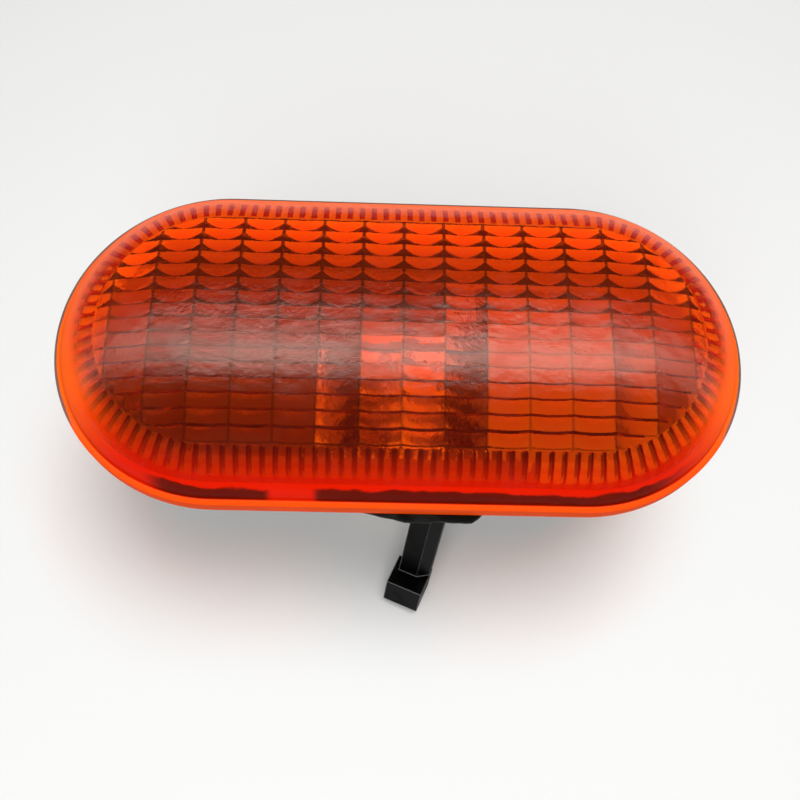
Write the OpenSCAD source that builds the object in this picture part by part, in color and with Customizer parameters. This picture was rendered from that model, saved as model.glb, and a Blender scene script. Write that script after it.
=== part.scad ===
// Side repeater lamp with an amber pillow-optic lens.
// The lamp lies lens up: +Z is out of the lens, X runs along the lens, and the
// origin is the centre of the panel face that the gasket seals against.

/* [Lens] */
// Length of the lens over its lip
lens_l = 84; // [76:1:100]
// Width of the lens over its lip
lens_w = 41; // [38:0.5:46]
// Height of the lens from the lip's underside to the crown
lens_h = 10.3; // [9.5:0.1:14]
// Height of the lip round the lens
lip_h = 2.2; // [1.6:0.1:2.8]
// Step from the lip in to the shoulder
lip_w = 0.8; // [0.4:0.1:1.2]
// Wall of the crown
crown_t = 2; // [1.6:0.1:2.4]
// Wall of the skirt
skirt_t = 1.6; // [1.3:0.1:1.9]
// Fullness of the dome's shoulder
dome_fullness = 2.6; // [2.2:0.1:3.2]

/* [Lens optics] */
// Border between the lens's edge and the pillow field
field_border = 6.2; // [5.9:0.1:8.5]
// Width of one column of pillows
column_pitch = 4.85; // [4:0.05:8]
// Bulge of a column
column_bulge = 0.4; // [0.2:0.05:0.6]
// Width of one row of prism steps
row_pitch = 1.75; // [1.5:0.05:3]
// Height of one prism step
step_h = 0.4; // [0.2:0.05:0.6]
// Spacing of the flutes round the shoulder
flute_pitch = 1.5; // [1.4:0.1:3]
// Height of one flute's ridge
flute_h = 0.55; // [0.35:0.05:0.65]

/* [Housing] */
// Setback of the tub from the lens's edge
tub_setback = 4.9; // [4.5:0.1:5.5]
// Depth of the tub behind the panel face
tub_depth = 12; // [10:0.5:15]
// Wall of the tub
tub_t = 1.7; // [1.4:0.1:2]
// Floor of the tub
floor_t = 1.8; // [1.4:0.1:2.4]
// Thickness of the flange under the lens
flange_t = 1.5; // [1.2:0.1:1.8]
// Height of the rim that stands on the flange
rim_h = 1; // [0.6:0.1:1.2]
// Thickness of that rim
rim_t = 1.1; // [0.8:0.1:1.4]
// Width of the channel for the sealant bead
bead_w = 1.1; // [0.8:0.1:1.3]
// Length of the missing stretch of the sealant bead
bead_break = 5; // [1:0.5:10]
// Place of the missing stretch along the near side
bead_break_x = -12.1; // [-16:0.5:-6]
// Depth of the tower below the tub
tower_depth = 8; // [7:0.5:12]
// Wall of the tower
tower_t = 1.75; // [1.4:0.05:2.2]
// Height of the bayonet ledge in the tower
ledge_h = 2; // [1.5:0.1:2.6]

/* [Panel fixing] */
// Thickness of the panel gasket
gasket_t = 1.2; // [0.8:0.1:2]
// Setback of the gasket from the lens's edge
gasket_setback = 2.4; // [2:0.1:3]
// Depth of the turned edge of the panel's opening, which the hooks go behind
panel_t = 2; // [1:0.1:2.5]
// Spacing of the two fixed hooks
hook_spacing = 28; // [18:1:38]
// Width of one hook
hook_w = 6; // [4:0.5:8]
// Reach of the hook behind the panel
hook_reach = 3; // [2:0.1:3.6]
// Thickness of the hook
hook_t = 1.8; // [1.4:0.1:2.4]
// Place of the sprung leg along the lamp
leg_x = 5.2; // [3:0.1:8]
// Setback of the leg's socket from the tub's near side
leg_inset = 2.4; // [2:0.1:2.6]
// Height of the socket's mouth above the tower's lower end
leg_rise = 3.7; // [2:0.1:4.5]
// Width of the sprung leg
leg_w = 4.6; // [3.8:0.1:5]
// Depth of the sprung leg
leg_d = 2.4; // [2:0.1:2.8]
// Offset of the leg from the middle of its foot
leg_offset = 0.35; // [0:0.05:0.45]
// Width of the leg's bevelled corner
leg_bevel = 1.7; // [0.5:0.1:2]
// Length of the leg from its socket to the foot
leg_l = 19; // [15:0.5:20]
// Length of the leg inside its socket
leg_root = 3.8; // [2.5:0.1:4]
// Outward lean of the leg
leg_lean = 22; // [15:1:28]
// Sideways lean of the leg
leg_side_lean = 6; // [0:1:10]
// Turn of the leg about its own length
leg_turn = -24; // [-35:1:0]
// Width of the foot block
foot_w = 5.5; // [4.8:0.1:7]
// Depth of the foot block
foot_d = 5.2; // [4:0.1:6]
// Height of the foot block
foot_h = 4.7; // [3:0.1:6]
// Wall of the leg's socket
socket_t = 1.2; // [1:0.1:1.6]
// Length of the leg's socket, into the tub
socket_l = 6; // [5.5:0.1:8]

/* [Bulb holder] */
// Diameter of the holder's body
holder_d = 17; // [16.4:0.1:18]
// Drop from the tub's underside to the top of the holder
holder_drop = 1; // [0.5:0.1:2]
// Reach of the holder's flange past its body
flange_reach = 3; // [2.6:0.1:4.5]
// Thickness of the holder's flange
holder_flange_t = 2.4; // [2:0.1:3.2]
// Thickness of the rubber seal over the flange
seal_t = 1.6; // [1:0.1:2.4]
// Overhang of the seal past the flange
seal_overhang = 0.25; // [0:0.05:0.5]
// Radial height of a bayonet lug
lug_reach = 1.5; // [1:0.1:1.7]
// Thickness of a bayonet lug
lug_t = 1.6; // [1.2:0.1:2]
// Height of the two finger grips below the flange
grip_h = 5.4; // [3:0.2:8]
// Thickness of a finger grip
grip_t = 1.6; // [1.2:0.1:3]
// Angle that one lug covers
lug_angle = 34; // [24:1:44]
// Outer length of the connector shroud
shroud_l = 14; // [13:0.2:17]
// Outer width of the connector shroud
shroud_w = 9; // [8:0.2:12]
// Depth of the connector shroud
shroud_h = 14; // [11:0.5:18]
// Wall of the connector shroud
shroud_t = 1.3; // [1:0.1:1.6]

/* [Bulb and contacts] */
// Diameter of the bulb's envelope
bulb_d = 10; // [9:0.1:10.6]
// Height of the bulb above the holder
bulb_h = 17.5; // [15:0.1:19]
// Wall of the bulb's glass
glass_t = 0.7; // [0.5:0.05:1]
// Width of the bulb's wedge base
wedge_w = 9.4; // [8.6:0.1:9.8]
// Thickness of the wedge base
wedge_t = 2.2; // [1.8:0.1:2.6]
// Depth of the wedge base in the holder
wedge_depth = 7.4; // [6:0.1:8]
// Diameter of the lead wires
wire_d = 0.5; // [0.4:0.05:0.7]
// Spacing of the lead wires
wire_spacing = 4.6; // [4:0.1:5.4]
// Height of the filament above the holder
filament_h = 12.2; // [10:0.1:13]
// Turns of the filament
filament_turns = 14; // [8:1:20]
// Thickness of the contact strip
contact_t = 0.5; // [0.4:0.05:0.7]
// Width of the contact spring
contact_w = 5.6; // [4:0.1:6]
// Width of the connector blade
blade_w = 2.8; // [2:0.1:3.2]
// Spacing of the two blades
blade_spacing = 5.4; // [5:0.1:6.4]
// Clearance between pieces that slide or seat
fit = 0.05; // [0.03:0.01:0.1]

/* [Hidden] */
$fn = 64;

straight = lens_l - lens_w;
lens_z = gasket_t;
lip_r = lens_w/2;
shoulder_r = lip_r - lip_w;
field_r = lip_r - field_border;
skirt_r = shoulder_r - skirt_t;
skirt_h = flange_t + rim_h + 0.2;
crown_under = lens_h - crown_t;
tub_r = lip_r - tub_setback;
flange_r = skirt_r - bead_w;
tub_floor_z = -tub_depth;
tower_z = tub_floor_z - tower_depth;
lug_room_r = holder_d/2 + lug_reach + 0.3;
tower_r = lug_room_r + tower_t;
ledge_r = holder_d/2 + 2*fit;
notch_r = holder_d/2 + lug_reach + 0.15;
ledge_top_z = tower_z + ledge_h;
holder_top_z = tub_floor_z - holder_drop;
holder_flange_d = holder_d + 2*flange_reach;
holder_flange_z = tower_z - seal_t;
shroud_z = holder_flange_z - holder_flange_t;
connector_z = shroud_z - shroud_h;
slot_w = wedge_w + 2*fit;
wedge_slot_t = wedge_t + 2*wire_d + 4*fit;
wedge_z = holder_top_z - wedge_depth;
slot_z = wedge_z - 2*wire_d - 2*fit;
contact_y = wedge_slot_t/2 + contact_t/2 + fit;
blade_y = blade_spacing/2;
filament_z = holder_top_z + filament_h;

// Dome of the lens: superellipse section of base radius r1 and height h
function dome(r, r1, h) = h * pow(max(0, 1 - pow(r/r1, dome_fullness)), 0.62);
// Points of a dome's section from its base to its axis
function dome_points(r1, z0, h, n = 9) =
    [for (i = [0:n]) let (r = r1*cos(90*i/n)) [i == n ? 0 : r, z0 + dome(r, r1, h)]];
// Underside of the crown at a distance r from the centre line
function crown_z(r) = skirt_h + dome(r, skirt_r, crown_under - skirt_h);
// Distance of a point from the obround's centre line
function line_distance(x, y) = norm([max(0, abs(x) - straight/2), y]);
// Parabola over one column, 0 at its edges and 1 at its middle
function bulge(u) = 1 - 4*(u - 0.5)*(u - 0.5);
// Points of an arc
function arc(r, a0, a1, n) = [for (i = [0:n]) let (a = a0 + (a1 - a0)*i/n) [r*cos(a), r*sin(a)]];

// Obround of half width r about the lamp's centre line
module obround(r) {
    square([straight, 2*r], center = true);
    for (side = [-1, 1]) translate([side*straight/2, 0]) circle(r);
}

// Obround ring
module obround_ring(outer_r, inner_r) {
    difference() {
        obround(outer_r);
        obround(inner_r);
    }
}

// Solid swept round the lamp's centre line from a half section
module obround_dome(section) {
    mirrored = [for (p = section) [-p[0], p[1]]];
    rotate([90, 0, 90]) linear_extrude(straight, center = true) {
        polygon(section);
        polygon(mirrored);
    }
    for (side = [-1, 1])
        translate([side*straight/2, 0, 0]) rotate_extrude() polygon(section);
}

// One flute of the lens's shoulder: a ridge down the wall at the side +Y
module flute() {
    hull() for (r = [field_r + 0.25, field_r + 3.1])
        translate([0, r, crown_z(r) + flute_h/2]) rotate([90, -90, 0])
            cylinder(r = 1.4*flute_h, h = 0.1, center = true, $fn = 3);
}

// Flutes all round the shoulder
module flutes() {
    side_count = round(straight/flute_pitch);
    end_count = round(PI*(field_r + 1.5)/flute_pitch);
    for (turn = [0, 180]) rotate(turn) {
        for (i = [0:side_count - 1])
            translate([-straight/2 + (i + 0.5)*straight/side_count, 0, 0]) flute();
        for (i = [0:end_count - 1])
            translate([straight/2, 0, 0]) rotate(-(i + 0.5)*180/end_count) flute();
    }
}

// Pillow field: columns of convex flutes cut across by rows of prism steps
module pillow_field() {
    arc_steps = 4;
    columns = ceil((straight/2 + field_r)/column_pitch);
    rows = ceil(field_r/row_pitch);
    riser = 0.12;
    skin = 0.15;
    xs = [for (c = [-columns:columns - 1], k = [0:arc_steps - 1]) [c, k/arc_steps]];
    all_xs = concat(xs, [[columns, 0]]);
    ys = [for (j = [-rows:rows - 1], k = [0, 1]) [j, k]];
    nx = len(all_xs);
    ny = len(ys);
    top = lens_h;
    field = [for (a = all_xs, b = ys)
        let (x = (a[0] + a[1])*column_pitch, y = b[0]*row_pitch + b[1]*(row_pitch - riser),
             base = crown_z(min(line_distance(x, y), field_r)))
        [x, y, base - skin - column_bulge*bulge(a[1]) - step_h*(1 - b[1])]];
    lid = [for (a = [0, nx - 1], b = [0, ny - 1])
        let (p = field[a*ny + b]) [p[0], p[1], top]];
    n = nx*ny;
    faces = concat(
        [for (i = [0:nx - 2], j = [0:ny - 2], half = [0, 1])
            let (a = i*ny + j) half == 0 ? [a, a + ny, a + ny + 1] : [a, a + ny + 1, a + 1]],
        [[n, n + 1, n + 3, n + 2]],
        [concat([for (i = [nx - 1:-1:0]) i*ny], [n, n + 2])],
        [concat([for (i = [0:nx - 1]) i*ny + ny - 1], [n + 3, n + 1])],
        [concat([for (j = [0:ny - 1]) j], [n + 1, n])],
        [concat([for (j = [ny - 1:-1:0]) (nx - 1)*ny + j], [n + 2, n + 3])]);
    polyhedron(concat(field, lid), faces, convexity = 10);
}

// Amber lens: lip, domed crown, pillow field and flutes
module lens() {
    outer = concat([[0, 0], [lip_r, 0], [lip_r, lip_h - 0.3], [lip_r - 0.3, lip_h], [shoulder_r, lip_h]],
                   [for (p = dome_points(shoulder_r, lip_h, lens_h - lip_h)) if (p[0] < shoulder_r) p]);
    inner = concat([[0, -1], [skirt_r, -1], [skirt_r, skirt_h]],
                   [for (p = dome_points(skirt_r, skirt_h, crown_under - skirt_h)) if (p[0] < skirt_r) p]);
    color("orangered") translate([0, 0, lens_z]) difference() {
        obround_dome(outer, $fn = 48);
        difference() {
            obround_dome(inner, $fn = 48);
            flutes();
            intersection() {
                pillow_field();
                linear_extrude(lens_h) obround(field_r, $fn = 58);
            }
        }
    }
}

// Bead of black sealant between the flange and the skirt, with its missing stretch
module lens_sealant() {
    color([0.06, 0.05, 0.05]) translate([0, 0, lens_z + 0.1]) difference() {
        linear_extrude(flange_t - 0.2) obround_ring(skirt_r - fit, flange_r + fit);
        translate([bead_break_x, -skirt_r, flange_t/2])
            cube([bead_break, 4*bead_w, 2*flange_t], center = true);
    }
}

// Frame of the sprung leg: its length runs along -Z from where it leaves the socket
module leg_frame() {
    translate([leg_x, -tub_r + leg_inset, tower_z + leg_rise])
        rotate([-leg_lean, leg_side_lean, 0]) rotate(leg_turn) children();
}

// Two fixed hooks that go behind the far edge of the panel's opening
module fixed_hooks() {
    for (side = [-1, 1]) translate([side*hook_spacing/2, tub_r - tub_t/2, 0]) {
        translate([0, (hook_reach + tub_t/2)/2, -panel_t - 2*fit - hook_t/2])
            cube([hook_w, hook_reach + tub_t/2, hook_t], center = true);
        for (edge = [-1, 1]) translate([edge*(hook_w/2 - 0.6), 0, -panel_t - 2*fit - hook_t])
            rotate([90, 0, 90]) linear_extrude(1.2, center = true)
                polygon([[0, 0.1], [tub_t/2 + hook_reach*0.8, 0.1], [tub_t/2, -4.5], [0, -4.5]]);
    }
}

// Bayonet notches in the tower's ledge
module bayonet_notches() {
    for (i = [0:2]) rotate(60 + 120*i) translate([0, 0, tower_z - 1])
        rotate_extrude(angle = lug_angle + 4)
            translate([ledge_r - 0.5, 0]) square([notch_r - ledge_r + 0.5, ledge_h + 2]);
}

// Housing: flange, rim, tub, tower with its bayonet ledge, hooks and leg socket
module housing() {
    flange_z = lens_z;
    color([0.10, 0.10, 0.11]) difference() {
        union() {
            translate([0, 0, flange_z]) linear_extrude(flange_t) obround(flange_r);
            translate([0, 0, flange_z]) linear_extrude(flange_t + rim_h) obround(flange_r - 0.3);
            translate([0, 0, tub_floor_z]) linear_extrude(tub_depth + flange_z + 0.5) obround(tub_r);
            translate([0, 0, tower_z]) cylinder(r = tower_r, h = tower_depth + floor_t/2);
            fixed_hooks();
            leg_frame() translate([leg_offset - leg_w/2 - socket_t, -leg_d/2 - socket_t, 0])
                cube([leg_w + 2*socket_t, leg_d + 2*socket_t, socket_l]);
        }
        translate([0, 0, flange_z + flange_t]) linear_extrude(rim_h + 1) obround(flange_r - 0.3 - rim_t);
        translate([0, 0, tub_floor_z + floor_t])
            linear_extrude(tub_depth + flange_z + flange_t) obround(tub_r - tub_t);
        translate([0, 0, ledge_top_z]) cylinder(r = lug_room_r, h = tower_depth + floor_t + 2);
        translate([0, 0, tower_z - 1]) cylinder(r = ledge_r, h = tower_depth);
        bayonet_notches();
        leg_frame() translate([leg_offset - leg_w/2 - fit, -leg_d/2 - fit, -1])
            cube([leg_w + 2*fit, leg_d + 2*fit, leg_root + 1 + fit]);
    }
}

// Rubber gasket between the lamp and the panel
module panel_gasket() {
    color([0.05, 0.05, 0.05]) linear_extrude(gasket_t)
        obround_ring(lip_r - gasket_setback, tub_r + 3*fit);
}

// Sprung leg with its bevelled corner and foot block, pushed into the housing's socket
module retaining_leg() {
    left = leg_offset - leg_w/2;
    right = leg_offset + leg_w/2;
    bevel_depth = 0.7*leg_bevel;
    color([0.04, 0.04, 0.04]) leg_frame() {
        translate([0, 0, -leg_l - 0.5]) linear_extrude(leg_l + leg_root + 0.5)
            polygon([[left, -leg_d/2], [right - leg_bevel, -leg_d/2], [right, -leg_d/2 + bevel_depth],
                     [right, leg_d/2], [left, leg_d/2]]);
        translate([-foot_w/2, leg_d/2 - foot_d, -leg_l - foot_h]) cube([foot_w, foot_d, foot_h]);
    }
}

// Three lugs that turn in over the tower's ledge
module bayonet_lugs() {
    for (i = [0:2]) rotate(120*i) translate([0, 0, ledge_top_z + fit])
        rotate_extrude(angle = lug_angle)
            translate([holder_d/2 - 0.5, 0]) square([lug_reach + 0.5, lug_t]);
}

// Bulb holder: body, lugs, flange with grips and the connector shroud
module bulb_holder() {
    grip_root = 0.6;
    color([0.78, 0.77, 0.72]) difference() {
        union() {
            translate([0, 0, holder_flange_z]) cylinder(d = holder_d, h = holder_top_z - holder_flange_z);
            translate([0, 0, shroud_z]) cylinder(d = holder_flange_d, h = holder_flange_t);
            bayonet_lugs();
            translate([-shroud_w/2, -shroud_l/2, connector_z]) cube([shroud_w, shroud_l, shroud_h + 1]);
            for (side = [-1, 1])
                translate([side*(holder_flange_d/2 + shroud_w/2)/2, 0, shroud_z + grip_root - (grip_h + grip_root)/2])
                    cube([holder_flange_d/2 - shroud_w/2 - 1, grip_t, grip_h + grip_root], center = true);
            translate([0, shroud_l/2, connector_z + 5]) rotate([90, 0, 90])
                linear_extrude(3, center = true) polygon([[-0.5, 0], [1.2, 0], [0, -3], [-0.5, -3]]);
        }
        translate([0, 0, connector_z + (shroud_h - 1.5)/2 - 1])
            cube([shroud_w - 2*shroud_t, shroud_l - 2*shroud_t, shroud_h + 0.5], center = true);
        translate([-slot_w/2, -wedge_slot_t/2, slot_z]) cube([slot_w, wedge_slot_t, wedge_depth + 3]);
        for (side = [-1, 1]) {
            translate([-contact_w/2 - fit, side*(wedge_slot_t/2 + 1.3) - 1.4, slot_z])
                cube([contact_w + 2*fit, 2.8, wedge_depth + 3]);
            translate([-blade_w/2 - fit, side*blade_y - contact_t/2 - fit, shroud_z - 4])
                cube([blade_w + 2*fit, contact_t + 2*fit, 8]);
        }
    }
}

// Rubber ring between the holder's flange and the tower
module holder_seal() {
    color([0.16, 0.15, 0.15]) translate([0, 0, holder_flange_z]) difference() {
        cylinder(r = holder_flange_d/2 + seal_overhang, h = seal_t);
        translate([0, 0, -1]) cylinder(d = holder_d + 2*fit, h = seal_t + 2);
    }
}

// Half section of the bulb's envelope, from its closed neck to its tip
function envelope(r, h) = concat([[0, 0], [r*0.72, 0], [r, 2.2]],
    [for (p = arc(r, 0, 90, 8)) [p[0], h - r + p[1]]]);

// Capless bulb: hollow envelope on a flat pinched wedge
module bulb_glass() {
    r = bulb_d/2;
    color([0.85, 0.9, 0.92, 0.4]) difference() {
        union() {
            translate([0, 0, holder_top_z + 0.3]) rotate_extrude() polygon(envelope(r, bulb_h - 0.3));
            translate([-wedge_w/2, -wedge_t/2, wedge_z]) cube([wedge_w, wedge_t, wedge_depth + 1.3]);
        }
        translate([0, 0, holder_top_z + 2.4])
            rotate_extrude() polygon(envelope(r - glass_t, bulb_h - 2.4 - glass_t));
        for (side = [-1, 1]) translate([side*wire_spacing/2, 0, wedge_z - 1])
            cylinder(d = wire_d + fit, h = wedge_depth + 6);
    }
}

// Coiled filament held across the two lead wires
module filament() {
    coil_r = 0.4;
    length = wire_spacing - wire_d - 2*0.02;
    pitch = length/filament_turns;
    bumps = [for (i = [0:filament_turns - 1], k = [0, 1]) [(k == 0 ? 0.6 : 1)*coil_r, (i + (k == 0 ? 0 : 0.5))*pitch]];
    color("silver") translate([-length/2, 0, filament_z]) rotate([0, 90, 0]) rotate_extrude()
        polygon(concat([[0, 0]], bumps, [[0.6*coil_r, length], [0, length]]));
}

// Lead wire: up beside the filament, down through the pinch and folded up one face
module lead_wire(side, face) {
    fold_y = wedge_t/2 + wire_d/2 + fit;
    bend_z = wedge_z - wire_d/2 - fit;
    color("gainsboro") translate([side*wire_spacing/2, 0, 0]) {
        translate([0, 0, bend_z]) cylinder(d = wire_d, h = filament_z + 0.7 - bend_z);
        translate([0, 0, bend_z]) rotate([-90*face, 0, 0]) cylinder(d = wire_d, h = fold_y);
        translate([0, face*fold_y, bend_z]) cylinder(d = wire_d, h = 4.5);
    }
}

module lead_wire_left() { lead_wire(-1, 1); }
module lead_wire_right() { lead_wire(1, -1); }

// Outline of a strip of thickness t along a path in a plane
function strip_side(path, t) = [for (i = [0:len(path) - 1])
    let (a = path[max(0, i - 1)], b = path[min(len(path) - 1, i + 1)], d = (b - a)/norm(b - a))
    path[i] + t/2*[d[1], -d[0]]];
function reversed(list) = [for (i = [len(list) - 1:-1:0]) list[i]];

// Contact: a bowed spring beside the wedge, then a blade down into the shroud
module contact() {
    spring = [[contact_y + 0.9, holder_top_z - 0.4], [contact_y + 0.1, holder_top_z - 1.6],
              [contact_y, holder_top_z - 3], [contact_y + 0.3, slot_z + 1.6],
              [blade_y, slot_z + contact_t/2 + 0.1]];
    blade_top = slot_z + contact_t/2 + 0.1;
    color("darkgoldenrod") {
        rotate([90, 0, 90]) linear_extrude(contact_w, center = true)
            polygon(concat(strip_side(spring, contact_t), reversed(strip_side(spring, -contact_t))));
        translate([-blade_w/2, blade_y - contact_t/2, connector_z + 3.5])
            cube([blade_w, contact_t, blade_top - connector_z - 3.5]);
    }
}

module contact_front() { mirror([0, 1, 0]) contact(); }
module contact_back() { contact(); }

lens();
lens_sealant();
housing();
panel_gasket();
retaining_leg();
bulb_holder();
holder_seal();
bulb_glass();
filament();
lead_wire_left();
lead_wire_right();
contact_front();
contact_back();
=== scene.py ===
"""Side repeater lamp: an amber pillow-optic lens over a black housing with its holder and bulb."""
import math

import bpy
from mathutils import Matrix, Vector


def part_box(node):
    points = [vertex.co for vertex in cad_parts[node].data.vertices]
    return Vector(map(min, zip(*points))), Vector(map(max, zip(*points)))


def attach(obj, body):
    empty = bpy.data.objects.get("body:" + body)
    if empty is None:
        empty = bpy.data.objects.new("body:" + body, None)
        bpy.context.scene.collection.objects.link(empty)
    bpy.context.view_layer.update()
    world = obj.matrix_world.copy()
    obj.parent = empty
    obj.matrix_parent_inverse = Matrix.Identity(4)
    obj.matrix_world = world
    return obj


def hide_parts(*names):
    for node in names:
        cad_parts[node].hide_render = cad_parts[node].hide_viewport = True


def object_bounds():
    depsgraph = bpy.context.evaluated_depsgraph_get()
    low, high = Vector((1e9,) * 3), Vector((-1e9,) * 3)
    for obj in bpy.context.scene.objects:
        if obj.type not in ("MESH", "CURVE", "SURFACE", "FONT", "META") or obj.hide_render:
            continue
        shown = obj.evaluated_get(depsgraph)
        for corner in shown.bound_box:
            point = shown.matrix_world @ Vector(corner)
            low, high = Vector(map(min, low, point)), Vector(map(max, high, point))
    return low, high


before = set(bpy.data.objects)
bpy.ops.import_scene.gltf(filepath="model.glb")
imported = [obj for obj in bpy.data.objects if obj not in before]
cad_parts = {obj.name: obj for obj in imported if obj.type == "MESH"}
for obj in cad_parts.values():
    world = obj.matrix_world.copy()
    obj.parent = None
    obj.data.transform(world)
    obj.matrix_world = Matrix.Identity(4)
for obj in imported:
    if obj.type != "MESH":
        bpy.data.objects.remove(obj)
cad_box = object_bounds()

MM = 0.001

# Camera, from the lens outline and its column lines
CAMERA_AIM = Vector((-0.02, -6.27, 1.2)) * MM
CAMERA_DISTANCE = 110.04 * MM
CAMERA_TILT = math.radians(20.98)
CAMERA_YAW = math.radians(-1.62)
CAMERA_ROLL = math.radians(0.78)
FOCAL_LENGTH = 40.5
SENSOR_WIDTH = 36

# Studio
DOME_LEVEL = 0.35
DOME_COLOUR = (0.97, 0.98, 1.0)
SEEN_DOME_LEVEL = 0.06
SEEN_DOME_COLOUR = (1.0, 0.96, 0.85)
STRIP_LEVEL = 5.4
STRIP_LEAN = math.radians(16.5)
STRIP_SPREAD = (0.55, 0.1)
KEY_POWER = 1.15
KEY_SIZE = 150 * MM
KEY_PLACE = Vector((40, 20, 345)) * MM
FRONT_POWER = 0.5
FRONT_SIZE = 220 * MM
FRONT_PLACE = Vector((-60, -230, 240)) * MM
FLOOR_SIZE = 3
FLOOR_COLOUR = (0.74, 0.74, 0.73)

# Lens
LENS_LOW, LENS_HIGH = (Vector(corner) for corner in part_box("lens"))
LIP_R = LENS_HIGH.y
STRAIGHT = 2 * (LENS_HIGH.x - LIP_R)
LENS_H = LENS_HIGH.z - LENS_LOW.z
LIP_H = 2.2 * MM
LIP_W = 0.8 * MM
LIP_ROUND = 0.3 * MM
SMALL_ROUND = 0.1 * MM
CAVITY_ROUND = 0.2 * MM
CROWN_T = 2 * MM
SKIRT_T = 1.6 * MM
SKIRT_H = 2.7 * MM
DOME_FULLNESS = 2.6
DOME_SHARPNESS = 0.62
SHOULDER_R = LIP_R - LIP_W
SKIRT_R = SHOULDER_R - SKIRT_T

# Lens optics
FIELD_R = 14.3 * MM
COLUMN_PITCH = 4.85 * MM
COLUMN_BULGE = 0.42 * MM
COLUMN_STEPS = 12
ROW_PITCH = 1.75 * MM
ROW_BULGE = 0.07 * MM
ROW_STEPS = 6
SKIN = 0.12 * MM
RISER_SHARE = 0.08
SCALLOP_SHARE = 0.44
FLUTE_PITCH = 1.5 * MM
FLUTE_H = 0.5 * MM
FLUTE_IN = (FIELD_R - 0.5 * MM, FIELD_R)
FLUTE_OUT = (17.9 * MM, 17.2 * MM)
FLUTE_STEPS = 6
SIDE_FLUTES = round(STRAIGHT / FLUTE_PITCH)
END_FLUTES = round(math.pi * (FIELD_R + FLUTE_PITCH) / FLUTE_PITCH)

# Gasket, in millimetres. From LOBE_LEFT on, a pair is where a change starts and where it is complete,
# or the values before and after it.
GASKET_W = 3.6
GASKET_INNER_ROUND = 0.2
GASKET_OUTER_ROUND = 0.3
RIPPLE_HEIGHTS = (0.08, 0.05)
RIPPLE_RATES = (0.9, 2.3)
LOBE_REACH = 3.2
LOBE_FOOT = 0.6
LOBE_TIP = 0.4
LOBE_LEFT = (-14, 2)
LOBE_RIGHT = (13, 8)

# Painted shade in the optics' dark lines, in millimetres or in shares of a pillow or a flute
SCALLOP_ROWS = (-4, 7)
SCALLOP_LEAST = 0.02
SCALLOP_DEPTH = 0.62
OUTER_ROWS = (12.4, 10.6)
OUTER_ROWS_STRENGTH = (0.4, 1)
RISER_EDGE = (-0.06, 0.04)
RISER_STRENGTH = (0.4, 0.88)
COLUMN_LINE = (0.9, 0.98)
COLUMN_STRENGTH = (0.4, 0.7)
FIELD_EDGE = (FIELD_R / MM, FIELD_R / MM - 0.2)
GROOVE_EDGE = (0.45, 0.68)
GROOVE_IN = (14.3, 14.6)
GROOVE_OUT = (17.2, 16.4)
GROOVE_ROWS = (4, -10)
GROOVE_STRENGTH = (0.2, 0.8)

# Dark bead seen through the near shoulder, in millimetres
BEAD_INNER = 18.3
BEAD_WANDER = 1.2
BEAD_EDGE = (-0.15, 0.15)
BEAD_OUTER = (19.85, 19.65)
BEAD_SIDE = (-6, -15)
BEAD_LEFT = (-30, -26)
BEAD_RIGHT = (36, 27)
BEAD_END_STRENGTH = 0.1
BEAD_STRENGTH = 0.9
GAP_MIDDLE = -12.3
GAP_EDGE = (1.9, 3.4)

# Grey line painted on the lip's upper corner, in millimetres
RIM_LINE_WANDER = 0.3
RIM_LINE_EDGE = (20.15, 20.5)
RIM_LINE_UP = (2.7, 3.1)
RIM_LINE_SIDE = (-13, -6)
RIM_LINE_STRENGTH = 0.8

# Amber colours, where they change in millimetres, and at which share of a mask they turn
AMBER_IOR = 1.49
AMBER_CLEAR = (1.0, 0.84, 0.5)
AMBER_DEPTH = (0.98, 0.68, 0.01)
AMBER_DENSITY = 1400
AMBER_SHADOW = (1.0, 0.89, 0.7, 1)
AMBER_ROUGHNESS = (0.03, 0.22)
AMBER_SCUFF_ROUGHNESS = 0.25
# Lit and shaded copies of the amber: painted shade makes the near side and its lip darker and redder
AMBER_NEAR_SHADED = (0.7, 0.01, 0.0003)
AMBER_FAR_LIT = (1.0, 0.12, 0.004)
AMBER_SHADE_SIDES = (-17, -6)
LIP_NEAR_SHADED = (0.78, 0.07, 0.004)
LIP_FAR_LIT = (1.0, 0.11, 0.004)
LIP_EDGE = (19.7, 19.9)
# Painted light on the inside of the far rows
FAR_ROWS_PAINTED_LIGHT = (1.0, 0.8, 0.03)
FAR_ROWS_PAINTED_LIGHT_SIDE = (0, 10)
LINE_TURN = (0, 0.15)
# Painted shade in the risers and grooves
RISER_PAINTED_SHADE = (0.03, 0.004, 0.001)
GROOVE_PAINTED_SHADE_NEAR = (0.04, 0.003, 0.001)
GROOVE_PAINTED_SHADE_FAR = (0.5, 0.045, 0.005)
GROOVE_SIDES = (-9, 3)
BEAD_RED = (0.1, 0.004, 0.0005)
BEAD_TURN = (0, 0.9)
# Grey painted along the lip's upper corner
RIM_LINE_GREY = (0.14, 0.09, 0.07)
RIM_LINE_TURN = (0, 0.3)

# Cloudy share of the amber, and where it changes in millimetres
CLOUD_CROWN = 0.03
CLOUD_MIDDLE = 0.14
CLOUD_MIDDLE_SIDE = (-9, 3)
# Cloudy share of the painted light on the inside of the far rows
CLOUD_PAINTED_LIGHT = 0.74
CLOUD_PAINTED_LIGHT_SIDE = (6, 13)
CLOUD_NEAR = 0.5
CLOUD_FAR = 0.93
CLOUD_SIDES = (-16, -6)
CLOUD_START = (14.6, 15.4)
CLOUD_START_SIDES = (-10, 4)
CLOUD_START_LEAD = -0.8
CLOUD_END = 19
CLOUD_LIP = 0.88
CLOUD_LIP_EDGE = (18.1, 18.6)
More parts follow.
